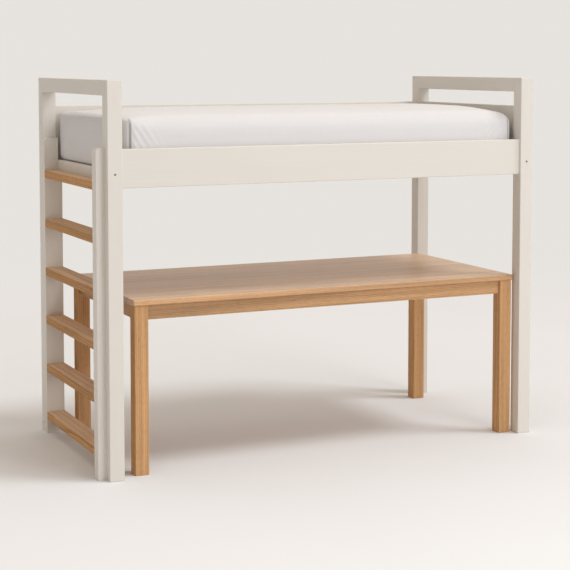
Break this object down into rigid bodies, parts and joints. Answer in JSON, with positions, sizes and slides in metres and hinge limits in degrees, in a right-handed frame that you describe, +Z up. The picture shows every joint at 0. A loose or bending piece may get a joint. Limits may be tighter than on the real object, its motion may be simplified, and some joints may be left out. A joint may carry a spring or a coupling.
{
  "type": "cabin bed",
  "caption": "Raised single bed on square posts with slatted deck, mattress, guard panels, an end ladder with broad treads and a desk underneath.",
  "frame": {"origin": "on the floor, under the centre of the bounding box", "axes": "+X along the bed from the ladder end to the head end, -Y the open front with the low rail, +Z up"},
  "size_m": [2.084, 1.01, 1.65],
  "materials": {
    "painted_wood": "satin",
    "oak": "satin",
    "slat_wood": "matte",
    "beech": "matte",
    "sheet": "matte",
    "zinc_steel": "satin"
  },
  "bodies": {
    "bed": {"post_front_left": "painted_wood", "post_rear_left": "painted_wood", "post_front_right": "painted_wood", "post_rear_right": "painted_wood", "top_rail_left": "painted_wood", "top_rail_right": "painted_wood", "end_rail_left": "painted_wood", "head_panel_right": "painted_wood", "side_rail_front": "painted_wood", "guard_panel_back": "painted_wood", "slat_ledge_front": "slat_wood", "slat_ledge_back": "slat_wood", "slat_01": "slat_wood", "slat_02": "slat_wood", "slat_03": "slat_wood", "slat_04": "slat_wood", "slat_05": "slat_wood", "slat_06": "slat_wood", "slat_07": "slat_wood", "slat_08": "slat_wood", "slat_09": "slat_wood", "slat_10": "slat_wood", "slat_11": "slat_wood", "slat_12": "slat_wood", "slat_13": "slat_wood", "slat_14": "slat_wood", "ladder_stile_front": "painted_wood", "ladder_stile_rear": "painted_wood", "rung_1": "oak", "rung_2": "oak", "rung_3": "oak", "rung_4": "oak", "rung_5": "oak", "rung_6": "oak", "rail_bolts": "zinc_steel", "barrel_nuts": "zinc_steel", "stile_bolts": "zinc_steel", "stile_inserts": "zinc_steel", "stile_plug": "painted_wood", "bolt_plugs": "painted_wood", "frame_dowels": "beech", "rung_dowels": "beech", "slat_screws": "zinc_steel", "ledge_screws_set": "zinc_steel", "end_rail_screws": "zinc_steel"},
    "desk": {"desk_top": "oak", "desk_leg_front_left": "oak", "desk_leg_front_right": "oak", "desk_leg_rear_left": "oak", "desk_leg_rear_right": "oak", "desk_apron_front": "oak", "desk_apron_back": "oak", "desk_apron_left": "oak", "desk_apron_right": "oak", "desk_corner_blocks": "beech", "desk_corner_bolts": "zinc_steel", "desk_corner_nuts": "zinc_steel", "desk_top_screws": "zinc_steel", "desk_dowels": "beech"},
    "mattress": {"mattress": "sheet"}
  },
  "joints": [
    {"name": "desk_pull", "type": "slide", "parent": "bed", "child": "desk", "axis": [0, -1, 0], "range_m": [0, 0.9]},
    {"name": "mattress_lift", "type": "slide", "parent": "bed", "child": "mattress", "axis": [0, 0, 1], "range_m": [0, 0.3]}
  ]
}
